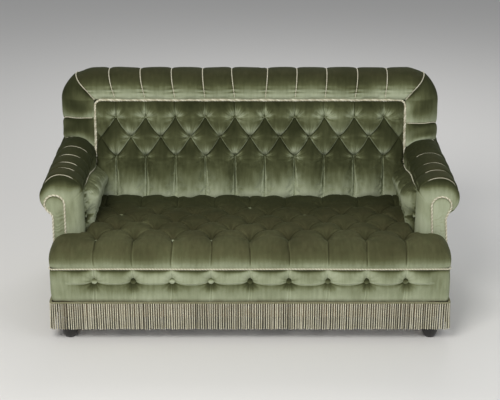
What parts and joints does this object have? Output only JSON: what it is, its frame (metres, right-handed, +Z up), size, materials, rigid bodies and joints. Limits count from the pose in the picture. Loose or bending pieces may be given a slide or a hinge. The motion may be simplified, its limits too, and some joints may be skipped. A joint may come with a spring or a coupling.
{
  "type": "sofa",
  "caption": "Deep-buttoned scroll-arm sofa in green velvet with a fluted roll round the back, cream cords, a bullion fringe and round black feet.",
  "frame": {"origin": "bottom centre of the bounding box, on the floor", "axes": "+X to the right as seen from in front, -Y out of the front, +Z up"},
  "size_m": [1.766, 0.8982, 0.9686],
  "materials": {
    "velvet": "sage-green cotton velvet, deep buttoned and fluted",
    "cream_cord": "twisted cream cord and braid",
    "bullion": "cream and grey-green twisted bullion",
    "black_wood": "ebonised, satin",
    "beech": "sawn beech",
    "hessian": "jute webbing and hessian",
    "black_cloth": "black bottoming cloth"
  },
  "bodies": {
    "root": {"back_cord": "cream_cord", "back_fringe": "bullion", "back_fringe_heading": "cream_cord", "back_seat_rail": "beech", "back_stuffing_rail": "beech", "bottom_cloth": "black_cloth", "centre_seat_brace": "beech", "front_border": "velvet", "front_fringe": "bullion", "front_fringe_heading": "cream_cord", "front_piping": "cream_cord", "front_seat_rail": "beech", "inside_back": "velvet", "left_arm_cap": "velvet", "left_arm_cord": "cream_cord", "left_arm_facing": "velvet", "left_arm_rail": "beech", "left_arm_roll": "velvet", "left_arm_stump": "beech", "left_back_arm_post": "beech", "left_back_foot": "black_wood", "left_back_post": "beech", "left_border_return": "velvet", "left_ear": "velvet", "left_facing_cord": "cream_cord", "left_fringe": "bullion", "left_fringe_heading": "cream_cord", "left_front_corner_block": "beech", "left_front_foot": "black_wood", "left_inside_arm": "velvet", "left_outside_arm": "velvet", "left_side_seat_rail": "beech", "outside_back": "velvet", "right_arm_cap": "velvet", "right_arm_cord": "cream_cord", "right_arm_facing": "velvet", "right_arm_rail": "beech", "right_arm_roll": "velvet", "right_arm_stump": "beech", "right_back_arm_post": "beech", "right_back_foot": "black_wood", "right_back_post": "beech", "right_border_return": "velvet", "right_ear": "velvet", "right_facing_cord": "cream_cord", "right_fringe": "bullion", "right_fringe_heading": "cream_cord", "right_front_corner_block": "beech", "right_front_foot": "black_wood", "right_inside_arm": "velvet", "right_outside_arm": "velvet", "right_side_seat_rail": "beech", "seat_cushion": "velvet", "seat_webbing": "hessian", "spring_case": "hessian", "top_back_rail": "beech", "top_roll": "velvet"}
  },
  "joints": []
}
